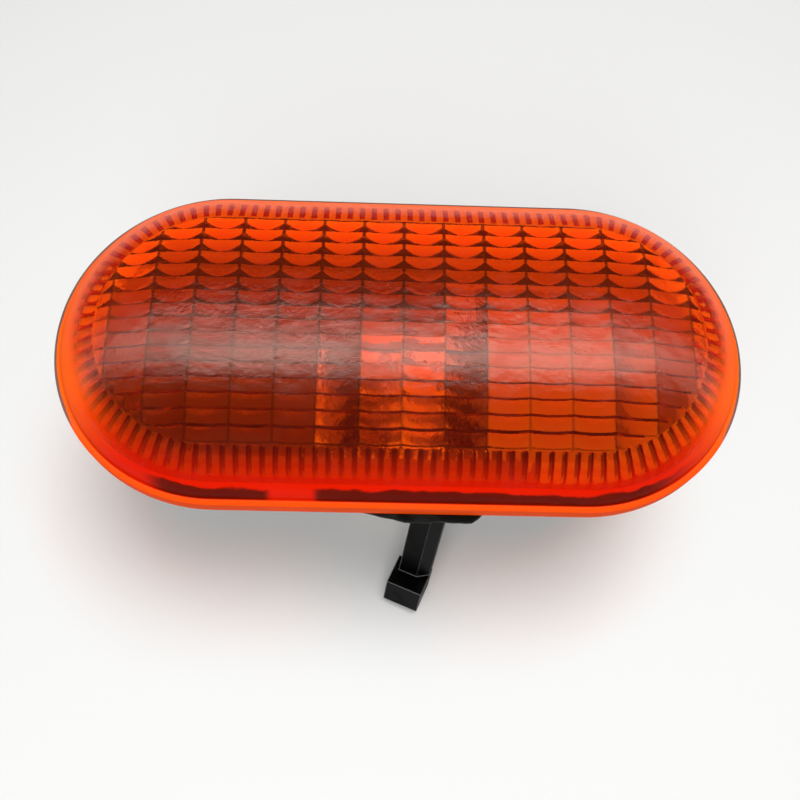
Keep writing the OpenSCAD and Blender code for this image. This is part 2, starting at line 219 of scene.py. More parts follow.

# Housing colours, and where the silver finish lies and where painted light and shade fall on it, in
# millimetres
HOUSING_CLEAN = (0.02, 0.02, 0.021)
HOUSING_DUSTY = (0.05, 0.047, 0.043)
HOUSING_WORN = (0.12, 0.118, 0.115)
HOUSING_WEAR = 0.5
# Painted light and shade on the silver finish: pale where light falls, dark where shade falls
SILVER_PAINTED_LIGHT = (0.75, 0.74, 0.72)
SILVER_PAINTED_SHADE = (0.09, 0.08, 0.075)
TUB_SIDE = (16.8, 16.6)
TUB_BOTTOM = (-18.2, -18.0)
TUB_OUTSIDE = (13.95, 14.0)
TUB_OUTSIDE_TOP = (1.1, 1.0)
TOWER_OUTSIDE = (10.4, 10.5)
TUB_UNDERSIDE = (-10.8, -11.0)
FAR_WALL_SIDE = (-8, 3)
FAR_WALL_SHARE = (0.1, 1)
FAR_WALL_FADE = (-10.2, -3)
FLOOR_MIDDLE = (7.0, 6.4)
FLOOR_TOP = (-10.3, -10.9)
FLOOR_RIGHT = (11.2, 12.2)
FLOOR_RIGHT_SLANT = 0.25
FLOOR_RIGHT_SHARE = 0.55

# Other finishes
LEG_CLEAN = (0.0015, 0.0015, 0.0016)
LEG_DUSTY = (0.004, 0.004, 0.004)
LEG_SCUFFED = (0.06, 0.06, 0.06)
LEG_SCUFF_SHARE = 0.3
# Painted highlight on the leg's corners
LEG_EDGE_HIGHLIGHT = (0.3, 0.3, 0.3)
LEG_HIGHLIGHT_SHARE = 0.8
GASKET_DARK = (0.003, 0.003, 0.003)
GASKET_DUSTY = (0.012, 0.011, 0.01)
SEAL_DARK = (0.03, 0.028, 0.028)
SEAL_DUSTY = (0.07, 0.066, 0.062)
SEALANT_CLEAN = (0.018, 0.012, 0.01)
SEALANT_DUSTY = (0.05, 0.03, 0.022)
NYLON_PALE = (0.95, 0.92, 0.84)
NYLON_YELLOWED = (0.9, 0.86, 0.74)
# Painted shade on the holder's sides
NYLON_PAINTED_SHADE = (0.1, 0.09, 0.08)
NYLON_SHADE_SIDE = (6.6, 7.2)
NYLON_SHADE_SHARE = 0.85
GLASS_CLEAN = (0.98, 0.98, 0.97)
GLASS_SMOKED = (0.86, 0.84, 0.8)
STEEL_BRIGHT = (0.62, 0.62, 0.6)
STEEL_DULL = (0.4, 0.38, 0.35)
BRASS_BRIGHT = (0.8, 0.6, 0.27)
BRASS_DULL = (0.48, 0.33, 0.15)
METAL_SHARE = (0.85, 0.35)
METAL_DULLING = 0.25

# Kinds of socket on a shader group
FLOAT = "NodeSocketFloat"
VECTOR = "NodeSocketVector"


def smooth(low, high, value):
    """0 below low, 1 above high and a soft ramp between."""
    share = min(1.0, max(0.0, (value - low) / (high - low)))
    return share * share * (3 - 2 * share)


def dome(r, base_r, height):
    """Height of the lens's dome at a distance r from the centre line."""
    return height * max(0.0, 1 - (r / base_r) ** DOME_FULLNESS) ** DOME_SHARPNESS


def crown_under(r):
    """Height of the crown's plain underside above the lens's lower edge."""
    return SKIRT_H + dome(min(r, SKIRT_R), SKIRT_R, LENS_H - CROWN_T - SKIRT_H)


def dome_section(base_r, z0, height, rings):
    """Points of a dome's section from its base in to the centre line."""
    points = []
    for i in range(1, rings):
        r = base_r * math.cos(math.pi / 2 * i / rings)
        points.append((r, z0 + dome(r, base_r, height)))
    points.append((0, z0 + height))
    return points


def line_distance(x, y):
    """Distance of a point from the lamp's centre line."""
    return math.hypot(max(0.0, abs(x) - STRAIGHT / 2), y)


def line_travel(x, y):
    """Number of flutes passed when going round the lamp's centre line to a point."""
    if abs(x) <= STRAIGHT / 2:
        return (x / STRAIGHT + 0.5) * SIDE_FLUTES
    return math.atan2(abs(x) - STRAIGHT / 2, y) / math.pi * END_FLUTES


def only(ob):
    """Selects this object alone and makes it active."""
    bpy.ops.object.select_all(action="DESELECT")
    ob.select_set(True)
    bpy.context.view_layer.objects.active = ob


def apply_modifiers(ob):
    """Makes all modifiers part of an object's mesh."""
    only(ob)
    for modifier in list(ob.modifiers):
        bpy.ops.object.modifier_apply(modifier=modifier.name)


def boolean(ob, cutter, operation):
    """Cuts a piece with another or trims it to that one, which is used up."""
    modifier = ob.modifiers.new("cut", "BOOLEAN")
    modifier.object = cutter
    modifier.operation = operation
    modifier.solver = "MANIFOLD"
    apply_modifiers(ob)
    bpy.data.objects.remove(cutter)


def edit(ob):
    """Opens an object in edit mode with all of its mesh selected."""
    only(ob)
    bpy.ops.object.mode_set(mode="EDIT")
    bpy.ops.mesh.select_all(action="SELECT")


def leave_edit():
    """Goes back to object mode."""
    bpy.ops.object.mode_set(mode="OBJECT")


def sweep(name, section, end_steps, side_steps):
    """Sweeps an open section of (radius, height) round the lamp's centre line."""
    bpy.ops.object.select_all(action="DESELECT")
    bpy.ops.mesh.primitive_plane_add(size=MM)
    ob = bpy.context.object
    ob.name = name
    edit(ob)
    bpy.ops.mesh.merge(type="CENTER")
    x = STRAIGHT / 2
    place = Vector((x, -section[0][0], section[0][1]))
    bpy.ops.transform.translate(value=place)
    for before, after in zip(section, section[1:]):
        move = (0, before[0] - after[0], after[1] - before[1])
        bpy.ops.mesh.extrude_vertices_move(TRANSFORM_OT_translate={"value": move})
    bpy.ops.mesh.select_all(action="SELECT")
    for side in (1, -1):
        bpy.ops.mesh.spin(steps=end_steps, angle=-math.pi, center=(side * x, 0, 0), axis=(0, 0, 1))
        step = -side * STRAIGHT / side_steps
        bpy.ops.mesh.extrude_repeat(steps=side_steps, offset=(step, 0, 0))
    bpy.ops.mesh.select_all(action="SELECT")
    bpy.ops.mesh.remove_doubles(threshold=1e-6)
    bpy.ops.mesh.normals_make_consistent(inside=False)
    leave_edit()
    return ob


def lens_outside():
    """The lens as a solid body: its lip, shoulder and dome."""
    bend = 0.3 * LIP_ROUND
    section = [(0, 0), (LIP_R - SMALL_ROUND, 0), (LIP_R, SMALL_ROUND), (LIP_R, LIP_H - LIP_ROUND)]
    section += [(LIP_R - bend, LIP_H - bend), (LIP_R - LIP_ROUND, LIP_H)]
    section += [(SHOULDER_R + SMALL_ROUND, LIP_H), (SHOULDER_R, LIP_H + SMALL_ROUND)]
    section += dome_section(SHOULDER_R, LIP_H, LENS_H - LIP_H, rings=44)
    return sweep("lens_shell", section, end_steps=128, side_steps=2)


def lens_cavity():
    """Room under the lens, with its flutes round the shoulder."""
    section = [(0, -MM), (SKIRT_R, -MM), (SKIRT_R, SKIRT_H - CAVITY_ROUND)]
    section += dome_section(SKIRT_R, SKIRT_H, LENS_H - CROWN_T - SKIRT_H, rings=30)
    ob = sweep("lens_cavity", section, END_FLUTES * FLUTE_STEPS, SIDE_FLUTES * FLUTE_STEPS)
    for vertex in ob.data.vertices:
        x, y = vertex.co.xy
        r = line_distance(x, y)
        phase = line_travel(x, y) % 1
        window = smooth(*FLUTE_OUT, r) * smooth(*FLUTE_IN, r)
        vertex.co.z -= FLUTE_H * window * (1 - (2 * phase - 1) ** 2)
    return ob


def row_level(x, row, rows):
    """Height of a row's level underside, which clears the crown at the row's outer edge."""
    edge = max(abs(row - rows / 2), abs(row + 1 - rows / 2)) * ROW_PITCH
    return crown_under(min(line_distance(x, edge), FIELD_R)) - SKIN


def riser_share(u, y):
    """Share of a row taken by the riser in front of it: widest at the column lines of the far rows."""
    low, high = (side * MM for side in SCALLOP_ROWS)
    return RISER_SHARE + smooth(low, high, y) * SCALLOP_SHARE * (2 * u - 1) ** 2


def pillow_point(i, j, columns, rows):
    """Place of the pillow field's point that is i steps along and j steps across."""
    u = i % COLUMN_STEPS / COLUMN_STEPS
    row, k = divmod(j, ROW_STEPS)
    x = (i / COLUMN_STEPS - columns / 2) * COLUMN_PITCH
    riser = riser_share(u, (row - rows / 2) * ROW_PITCH)
    slope = (k - 1) / (ROW_STEPS - 1) if k else 1
    v = riser + (1 - riser) * slope if k else 0
    bulge = COLUMN_BULGE * (1 - (2 * u - 1) ** 2) + ROW_BULGE * (1 - (2 * slope - 1) ** 2)
    level = row_level(x, row if k else row - 1, rows)
    return x, (row + v - rows / 2) * ROW_PITCH, level - bulge


def pillow_field():
    """Block whose underside is the field of pillows, cut to the field's outline."""
    columns = 2 * math.ceil((STRAIGHT / 2 + FIELD_R) / COLUMN_PITCH)
    rows = 2 * math.ceil(FIELD_R / ROW_PITCH)
    along, across = columns * COLUMN_STEPS, rows * ROW_STEPS
    bpy.ops.object.select_all(action="DESELECT")
    bpy.ops.mesh.primitive_grid_add(x_subdivisions=along, y_subdivisions=across, size=2)
    ob = bpy.context.object
    ob.name = "pillow_field"
    for vertex in ob.data.vertices:
        i = round((vertex.co.x + 1) / 2 * along)
        j = round((vertex.co.y + 1) / 2 * across)
        vertex.co = pillow_point(i, j, columns, rows)
    edit(ob)
    bpy.ops.mesh.extrude_region_move()
    bpy.ops.transform.resize(value=(1, 1, 0), center_override=(0, 0, LENS_H))
    bpy.ops.mesh.select_all(action="SELECT")
    bpy.ops.mesh.normals_make_consistent(inside=False)
    leave_edit()
    top = LENS_H - MM
    section = [(0, 0), (FIELD_R, 0), (FIELD_R, top), (0, top)]
    outline = sweep("field_outline", section, end_steps=90, side_steps=1)
    boolean(ob, outline, "INTERSECT")
    return ob


def finish(ob, material, angle):
    """Gives a new piece its material, and soft shading across corners up to an angle in degrees."""
    ob.data.materials.clear()
    ob.data.materials.append(material)
    only(ob)
    bpy.ops.object.shade_smooth_by_angle(angle=math.radians(angle))


def amber_lens():
    """Lens: a domed shell with its pillows and flutes on the inside."""
    lens = lens_outside()
    cavity = lens_cavity()
    boolean(cavity, pillow_field(), "DIFFERENCE")
    boolean(lens, cavity, "DIFFERENCE")
    lens.data.transform(Matrix.Translation((0, 0, LENS_LOW.z)))
    finish(lens, amber_plastic(), angle=28)
    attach(lens, "root")
    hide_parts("lens")


def squeezed_gasket():
    """Rubber ring with rounded corners, squeezed out past the lens for a stretch on the near side."""
    high = Vector(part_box("panel_gasket")[1]) / MM
    outer, top = high.y, high.z
    inner = outer - GASKET_W
    small, large = GASKET_INNER_ROUND, GASKET_OUTER_ROUND
    section = [(inner, small), (inner, top - small), (inner + small, top), (outer - large, top)]
    section += [(outer, top - large), (outer, large), (outer - large, 0), (inner + small, 0)]
    section += [(inner, small)]
    section = [(r * MM, z * MM) for r, z in section]
    ring = sweep("gasket_ring", section, end_steps=64, side_steps=60)
    for vertex in ring.data.vertices:
        x, y = (vertex.co / MM).xy
        lobe = smooth(*LOBE_LEFT, x) * smooth(*LOBE_RIGHT, x)
        lobe *= smooth(inner + LOBE_FOOT, outer - LOBE_TIP, -y)
        ripples = (h * math.sin(x * rate) for h, rate in zip(RIPPLE_HEIGHTS, RIPPLE_RATES))
        vertex.co.y -= (LOBE_REACH + sum(ripples)) * MM * lobe
    finish(ring, rubber("gasket_rubber", GASKET_DARK, GASKET_DUSTY), angle=50)
    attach(ring, "root")
    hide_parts("panel_gasket")


def node(tree, kind, **values):
    """Adds a node and sets its properties and its inputs by name."""
    made = tree.nodes.new(kind)
    for name, value in values.items():
        if hasattr(made, name):
            setattr(made, name, value)
        else:
            made.inputs[name.replace("_", " ")].default_value = value
    return made


def feed(tree, socket, value):
    """Links an output to a socket, or writes a plain value there."""
    if isinstance(value, bpy.types.NodeSocket):
        tree.links.new(value, socket)
    else:
        socket.default_value = value


def maths(tree, operation, *values):
    """Result of one sum on plain values or outputs."""
    made = node(tree, "ShaderNodeMath", operation=operation)
    for socket, value in zip(made.inputs, values):
        feed(tree, socket, value)
    return made.outputs[0]


def product(tree, first, *others):
    """Product of two values or more."""
    for other in others:
        first = maths(tree, "MULTIPLY", first, other)
    return first


def highest(tree, first, *others):
    """Highest of two values or more."""
    for other in others:
        first = maths(tree, "MAXIMUM", first, other)
    return first


def length(tree, a, b):
    """Distance covered by going a one way and b square to it."""
    squares = [maths(tree, "MULTIPLY", side, side) for side in (a, b)]
    return maths(tree, "SQRT", maths(tree, "ADD", *squares))


def ramp(tree, value, low, high, start=0.0, end=1.0):
    """Start below low, end above high and a soft change between."""
    made = node(tree, "ShaderNodeMapRange", interpolation_type="SMOOTHSTEP")
    names = ("Value", "From Min", "From Max", "To Min", "To Max")
    for name, setting in zip(names, (value, low, high, start, end)):
        feed(tree, made.inputs[name], setting)
    return made.outputs[0]


def blend(tree, share, first, second):
    """Colour between two others."""
    made = node(tree, "ShaderNodeMix", data_type="RGBA")
    feed(tree, made.inputs["Factor"], share)
    # Of the node's several sockets named A, B and Result, these are the ones for colours
    for socket, colour in ((made.inputs[6], first), (made.inputs[7], second)):
        feed(tree, socket, colour if isinstance(colour, bpy.types.NodeSocket) else (*colour, 1))
    return made.outputs[2]


def mix_shaders(tree, share, first, second):
    """Shader between two others."""
    made = node(tree, "ShaderNodeMixShader")
    for socket, value in zip(made.inputs, (share, first, second)):
        feed(tree, socket, value)
    return made.outputs[0]


def noise(tree, vector, scale, detail=3.0, roughness=0.5, distortion=0.0):
    """Noise value, with its scale in features per millimetre."""
    made = node(tree, "ShaderNodeTexNoise", Detail=detail, Roughness=roughness, Distortion=distortion)
    feed(tree, made.inputs["Vector"], vector)
    feed(tree, made.inputs["Scale"], scale)
    return made.outputs["Fac"]


def mapping(tree, vector, turn=(0, 0, 0), scale=(1, 1, 1), kind="POINT"):
    """Vector turned and scaled."""
    made = node(tree, "ShaderNodeMapping", vector_type=kind)
    made.inputs["Rotation"].default_value = turn
    made.inputs["Scale"].default_value = scale
    tree.links.new(vector, made.inputs["Vector"])
    return made.outputs[0]


def split(tree, vector):
    """The X, Y and Z of a vector."""
    made = node(tree, "ShaderNodeSeparateXYZ")
    tree.links.new(vector, made.inputs[0])
    return made.outputs


def new_group(name, inputs, outputs):
    """Empty shader group with named sockets."""
    tree = bpy.data.node_groups.new(name, "ShaderNodeTree")
    for socket, kind, value in inputs:
        made = tree.interface.new_socket(socket, in_out="INPUT", socket_type=kind)
        if value is not None:
            made.default_value = value
    for socket, kind in outputs:
        tree.interface.new_socket(socket, in_out="OUTPUT", socket_type=kind)
    return tree, tree.nodes.new("NodeGroupInput").outputs, tree.nodes.new("NodeGroupOutput").inputs


def make_lamp_place():
    """Where a point lies on the lamp, in millimetres.

    Away is measured from the centre line, Radius from the middle, Along and Across from the middle
    to the right and to the far side, and Up from the panel.
    """
    places = ("Away", "Radius", "Along", "Across", "Up")
    tree, given, result = new_group(
        "lamp_place",
        [("Half Straight", FLOAT, STRAIGHT / 2 / MM)],
        [("Millimetres", VECTOR), *((name, FLOAT) for name in places)],
    )
    where = node(tree, "ShaderNodeTexCoord").outputs["Object"]
    point = mapping(tree, where, scale=(1 / MM, 1 / MM, 1 / MM))
    apart = split(tree, point)
    past = maths(tree, "SUBTRACT", maths(tree, "ABSOLUTE", apart["X"]), given["Half Straight"])
    past = maths(tree, "MAXIMUM", past, 0)
    feed(tree, result["Millimetres"], point)
    feed(tree, result["Away"], length(tree, past, apart["Y"]))
    feed(tree, result["Radius"], length(tree, apart["X"], apart["Y"]))
    feed(tree, result["Along"], apart["X"])
    feed(tree, result["Across"], apart["Y"])
    feed(tree, result["Up"], apart["Z"])
    return tree


def make_moulded_grain():
    """Height of a fine moulded texture."""
    tree, given, result = new_group(
        "moulded_grain",
        [("Vector", VECTOR, None), ("Scale", FLOAT, 8.0), ("Coarse Share", FLOAT, 0.4)],
        [("Height", FLOAT)],
    )
    fine = noise(tree, given["Vector"], given["Scale"], detail=2)
    coarse_scale = maths(tree, "MULTIPLY", given["Scale"], 0.12)
    coarse = noise(tree, given["Vector"], coarse_scale, detail=3)
    feed(tree, result["Height"], maths(tree, "MULTIPLY_ADD", coarse, given["Coarse Share"], fine))
    return tree


def make_patches():
    """Soft blotches, such as handling marks and dust, that cover a share of the surface."""
    tree, given, result = new_group(
        "patches",
        [("Vector", VECTOR, None), ("Scale", FLOAT, 0.2), ("Cover", FLOAT, 0.5)],
        [("Mask", FLOAT)],
    )
    value = noise(tree, given["Vector"], given["Scale"], detail=5, roughness=0.62, distortion=0.4)
    bare = maths(tree, "SUBTRACT", 1, given["Cover"])
    lowest, reach, softness = 0.12, 0.6, 0.22
    low = maths(tree, "MULTIPLY_ADD", bare, reach, lowest)
    feed(tree, result["Mask"], ramp(tree, value, low, maths(tree, "ADD", low, softness)))
    return tree


def make_scuffs():
    """Fine scratches that run in two directions."""
    tree, given, result = new_group(
        "scuffs",
        [("Vector", VECTOR, None), ("Scale", FLOAT, 1.0), ("Cover", FLOAT, 0.3)],
        [("Mask", FLOAT)],
    )
    found = []
    along = 0.3
    scratched, handled = (0.68, 0.74), (0.7, 0.3)
    for turn, stretch in ((0.35, 14), (-0.9, 18)):
        turned = mapping(tree, given["Vector"], (0, 0, turn), (along, stretch * along, along))
        lines = noise(tree, turned, given["Scale"], detail=2)
        found.append(ramp(tree, lines, *scratched))
    where = noise(tree, given["Vector"], scale=0.09, detail=2)
    cover = ramp(tree, where, *handled, 0, given["Cover"])
    feed(tree, result["Mask"], product(tree, highest(tree, *found), cover))
    return tree


def make_edges():
    """Rounded normal at the corners, and a mask of them."""
    tree, given, result = new_group(
        "edges",
        [("Radius", FLOAT, 0.2 * MM), ("Reach", FLOAT, 0.35)],
        [("Normal", VECTOR), ("Mask", FLOAT)],
    )
    rounded = node(tree, "ShaderNodeBevel", samples=4)
    feed(tree, rounded.inputs["Radius"], given["Radius"])
    flat = node(tree, "ShaderNodeNewGeometry")
    dot = node(tree, "ShaderNodeVectorMath", operation="DOT_PRODUCT")
    tree.links.new(rounded.outputs[0], dot.inputs[0])
    tree.links.new(flat.outputs["Normal"], dot.inputs[1])
    turned = maths(tree, "SUBTRACT", 1, dot.outputs["Value"])
    feed(tree, result["Normal"], rounded.outputs[0])
    feed(tree, result["Mask"], ramp(tree, turned, 0.02, given["Reach"]))
    return tree


GROUPS = {
    "place": make_lamp_place(),
    "grain": make_moulded_grain(),
    "patches": make_patches(),
    "scuffs": make_scuffs(),
    "edges": make_edges(),
}


def use(tree, group, **values):
    """Places a group in a material with its own values and returns its outputs."""
    made = node(tree, "ShaderNodeGroup", node_tree=GROUPS[group])
    for name, value in values.items():
        feed(tree, made.inputs[name.replace("_", " ")], value)
    return made.outputs


def new_material(name, **settings):
    """Material with a Principled shader and its plain values."""
    material = bpy.data.materials.new(name)
    material.use_nodes = True
    tree = material.node_tree
    shader = tree.nodes["Principled BSDF"]
    for socket, value in settings.items():
        shader.inputs[socket.replace("_", " ")].default_value = value
    return material, tree, shader


def paint(tree, shader, colour, mask, roughness, rougher):
    """Feeds the shader a colour, and a roughness that follows a mask."""
    feed(tree, shader.inputs["Base Color"], colour)
    feed(tree, shader.inputs["Roughness"], ramp(tree, mask, 0, 1, roughness, rougher))


def bump(tree, shader, height, depth, normal=None):
    """Raises the surface by a height of up to a depth in millimetres."""
    made = node(tree, "ShaderNodeBump", Strength=1, Distance=depth * MM)
    feed(tree, made.inputs["Height"], height)
    if normal is not None:
        feed(tree, made.inputs["Normal"], normal)
    tree.links.new(made.outputs[0], shader.inputs["Normal"])


def let_light_in(tree, shader, tint):
    """Lets lamps and bounced light through a clear shader, so that they light what is behind it."""
    path = node(tree, "ShaderNodeLightPath")
    clear = node(tree, "ShaderNodeBsdfTransparent", Color=tint).outputs[0]
    for ray in ("Is Shadow Ray", "Is Diffuse Ray"):
        shader = mix_shaders(tree, path.outputs[ray], shader, clear)
    tree.links.new(shader, tree.nodes["Material Output"].inputs["Surface"])


def pillow_shade(tree, place):
    """Mask of the painted shade on the risers between the pillows: dark triangles at the column lines
    of the far rows.
    """
    column = maths(tree, "FRACT", maths(tree, "DIVIDE", place["Along"], COLUMN_PITCH / MM))
    column = maths(tree, "ABSOLUTE", maths(tree, "MULTIPLY_ADD", column, 2, -1))
    row = maths(tree, "FRACT", maths(tree, "DIVIDE", place["Across"], ROW_PITCH / MM))
    far = ramp(tree, place["Across"], *SCALLOP_ROWS)
    depth = maths(tree, "MULTIPLY_ADD", far, SCALLOP_DEPTH, SCALLOP_LEAST)
    scallop = product(tree, maths(tree, "POWER", column, 2), depth)
    below = maths(tree, "SUBTRACT", maths(tree, "ADD", scallop, RISER_SHARE), row)
    riser = ramp(tree, below, *RISER_EDGE)
    strength = ramp(tree, far, 0, 1, *RISER_STRENGTH)
    fade = ramp(tree, place["Across"], *OUTER_ROWS, *OUTER_ROWS_STRENGTH)
    line = ramp(tree, column, *COLUMN_LINE, 0, ramp(tree, far, 0, 1, *COLUMN_STRENGTH))
    dark = highest(tree, product(tree, riser, strength, fade), line)
    return product(tree, dark, ramp(tree, place["Away"], *FIELD_EDGE))


def flute_shade(tree, place):
    """Mask of the painted shade in the grooves between the flutes round the shoulder."""
    half = STRAIGHT / 2 / MM
    side = maths(tree, "MULTIPLY_ADD", place["Along"], SIDE_FLUTES / 2 / half, SIDE_FLUTES / 2)
    past = maths(tree, "SUBTRACT", maths(tree, "ABSOLUTE", place["Along"]), half)
    turn = maths(tree, "ARCTAN2", past, place["Across"])
    end = maths(tree, "MULTIPLY", turn, END_FLUTES / math.pi)
    on_end = maths(tree, "GREATER_THAN", past, 0)
    on_side = maths(tree, "SUBTRACT", 1, on_end)
    travel = maths(tree, "ADD", product(tree, end, on_end), product(tree, side, on_side))
    groove = maths(tree, "ABSOLUTE", maths(tree, "MULTIPLY_ADD", maths(tree, "FRACT", travel), 2, -1))
    groove = ramp(tree, groove, *GROOVE_EDGE)
    band = product(tree, ramp(tree, place["Away"], *GROOVE_IN), ramp(tree, place["Away"], *GROOVE_OUT))
    strength = ramp(tree, place["Across"], *GROOVE_ROWS, *GROOVE_STRENGTH)
    return product(tree, groove, band, strength)


def bead_shade(tree, place):
    """Mask of the dark bead seen through the near shoulder, with one stretch missing."""
    wander = noise(tree, place["Millimetres"], scale=0.22, detail=3)
    inner = maths(tree, "MULTIPLY_ADD", wander, BEAD_WANDER, BEAD_INNER)
    inside = ramp(tree, maths(tree, "SUBTRACT", place["Away"], inner), *BEAD_EDGE)
    outside = ramp(tree, place["Away"], *BEAD_OUTER)
    near = ramp(tree, place["Across"], *BEAD_SIDE)
    left = ramp(tree, place["Along"], *BEAD_LEFT, BEAD_END_STRENGTH, 1)
    right = ramp(tree, place["Along"], *BEAD_RIGHT, BEAD_END_STRENGTH, 1)
    gap = maths(tree, "ABSOLUTE", maths(tree, "SUBTRACT", place["Along"], GAP_MIDDLE))
    unbroken = ramp(tree, gap, *GAP_EDGE)
    return product(tree, inside, outside, near, left, right, unbroken, BEAD_STRENGTH)


def rim_dark_line(tree, place):
    """Mask of the grey line painted on the lip's upper corner, all but on the near side."""
    wander = noise(tree, place["Millimetres"], scale=0.3, detail=3)
    away = maths(tree, "MULTIPLY_ADD", wander, RIM_LINE_WANDER, place["Away"])
    edge = ramp(tree, away, *RIM_LINE_EDGE, 0, RIM_LINE_STRENGTH)
    corner = ramp(tree, place["Up"], *RIM_LINE_UP)
    return product(tree, edge, corner, ramp(tree, place["Across"], *RIM_LINE_SIDE))


def amber_colour(tree, place, inside, risers, grooves, bead, rim_line):
    """Colour of the cloudy amber, with painted shade that makes the near side redder, painted light in
    the far rows, the painted shade of its dark lines, the bead, and a grey line on the lip.
    """
    # Painted shade: the near side and its lip darker and redder than the far side
    far = ramp(tree, place["Across"], *AMBER_SHADE_SIDES)
    colour = blend(tree, far, AMBER_NEAR_SHADED, AMBER_FAR_LIT)
    lip = blend(tree, far, LIP_NEAR_SHADED, LIP_FAR_LIT)
    colour = blend(tree, ramp(tree, place["Away"], *LIP_EDGE), colour, lip)
    # Painted light: a pale colour on the inside of the far rows
    painted_light_rows = product(tree, ramp(tree, place["Across"], *FAR_ROWS_PAINTED_LIGHT_SIDE), inside)
    colour = blend(tree, painted_light_rows, colour, FAR_ROWS_PAINTED_LIGHT)
    # Painted shade in the grooves and risers
    groove = blend(tree, ramp(tree, place["Across"], *GROOVE_SIDES), GROOVE_PAINTED_SHADE_NEAR, GROOVE_PAINTED_SHADE_FAR)
    colour = blend(tree, ramp(tree, risers, *LINE_TURN), colour, RISER_PAINTED_SHADE)
    colour = blend(tree, ramp(tree, grooves, *LINE_TURN), colour, groove)
    colour = blend(tree, ramp(tree, bead, *BEAD_TURN), colour, BEAD_RED)
    # A grey line painted on the lip's upper corner
    return blend(tree, ramp(tree, rim_line, *RIM_LINE_TURN), colour, RIM_LINE_GREY)


def cloud_share(tree, place, inside):
    """Share of cloudy amber: least on the crown, most round the edge, with painted light in the far
    rows.
    """
    middle = ramp(tree, place["Across"], *CLOUD_MIDDLE_SIDE, CLOUD_CROWN, CLOUD_MIDDLE)
    # Painted light: a cloudy glow on the inside of the far rows
    painted_glow = ramp(tree, place["Across"], *CLOUD_PAINTED_LIGHT_SIDE, middle, CLOUD_PAINTED_LIGHT)
    painted_glow = maths(tree, "MULTIPLY_ADD", maths(tree, "SUBTRACT", painted_glow, CLOUD_CROWN), inside, CLOUD_CROWN)
    rim = ramp(tree, place["Across"], *CLOUD_SIDES, CLOUD_NEAR, CLOUD_FAR)
    start = ramp(tree, place["Across"], *CLOUD_START_SIDES, *CLOUD_START)
    start = maths(tree, "MULTIPLY_ADD", inside, CLOUD_START_LEAD, start)
    edge = ramp(tree, place["Away"], start, CLOUD_END, painted_glow, rim)
    return highest(tree, edge, ramp(tree, place["Away"], *CLOUD_LIP_EDGE, 0, CLOUD_LIP))


def amber_plastic():
    """Clear amber plastic, deeper in colour where light goes further through it, cloudy at its edge,
    with painted light and shade in its colour.
    """
    material, tree, shader = new_material(
        "amber_plastic", Base_Color=(*AMBER_CLEAR, 1), IOR=AMBER_IOR, Transmission_Weight=1)
    place = use(tree, "place")
    point = place["Millimetres"]
    scuffs = use(tree, "scuffs", Vector=point, Scale=1.0, Cover=0.5)["Mask"]
    hands = use(tree, "patches", Vector=point, Scale=0.16, Cover=0.5)["Mask"]
    handled = ramp(tree, hands, 0, 1, *AMBER_ROUGHNESS)
    rough = maths(tree, "MULTIPLY_ADD", scuffs, AMBER_SCUFF_ROUGHNESS, handled)
    feed(tree, shader.inputs["Roughness"], rough)
    bump(tree, shader, noise(tree, point, scale=0.5, detail=4, roughness=0.6), depth=0.09)
    inside = node(tree, "ShaderNodeNewGeometry").outputs["Backfacing"]
    risers = product(tree, pillow_shade(tree, place), inside)
    grooves = product(tree, flute_shade(tree, place), inside)
    marks = (risers, grooves, bead_shade(tree, place), rim_dark_line(tree, place))
    cloudy = node(tree, "ShaderNodeBsdfPrincipled", Roughness=0.4, IOR=AMBER_IOR, Specular_IOR_Level=0)
    feed(tree, cloudy.inputs["Base Color"], amber_colour(tree, place, inside, *marks))
    share = highest(tree, cloud_share(tree, place, inside), *marks)
    mixed = mix_shaders(tree, share, shader.outputs[0], cloudy.outputs[0])
    let_light_in(tree, mixed, AMBER_SHADOW)
    depth = node(tree, "ShaderNodeVolumeAbsorption", Color=(*AMBER_DEPTH, 1), Density=AMBER_DENSITY)
    tree.links.new(depth.outputs[0], tree.nodes["Material Output"].inputs["Volume"])
    return material


def silver_share(tree, place):
    """Mask of the inside of the tub and of the tower, which has the silver finish."""
    tub = product(tree, ramp(tree, place["Away"], *TUB_SIDE), ramp(tree, place["Up"], *TUB_BOTTOM))
    outside = product(
        tree, ramp(tree, place["Away"], *TUB_OUTSIDE), ramp(tree, place["Up"], *TUB_OUTSIDE_TOP))
    under = product(
        tree, ramp(tree, place["Up"], *TUB_UNDERSIDE), ramp(tree, place["Radius"], *TOWER_OUTSIDE))
    return product(tree, tub, maths(tree, "SUBTRACT", 1, highest(tree, outside, under)))


def silver_light_and_shade(tree, place):
    """Colour of the silver finish with painted light and shade: pale up the far wall and on the floor's
    middle and right, dark elsewhere.
    """
    far = ramp(tree, place["Across"], *FAR_WALL_SIDE, *FAR_WALL_SHARE)
    wall = product(tree, ramp(tree, place["Up"], *FAR_WALL_FADE), far)
    aside = maths(tree, "ABSOLUTE", place["Along"])
    floor = ramp(tree, place["Up"], *FLOOR_TOP)
    middle = product(tree, ramp(tree, aside, *FLOOR_MIDDLE), floor)
    slant = maths(tree, "MULTIPLY_ADD", place["Across"], FLOOR_RIGHT_SLANT, place["Along"])
    right = ramp(tree, slant, *FLOOR_RIGHT, 0, FLOOR_RIGHT_SHARE)
    return blend(tree, highest(tree, wall, middle, right), SILVER_PAINTED_SHADE, SILVER_PAINTED_LIGHT)


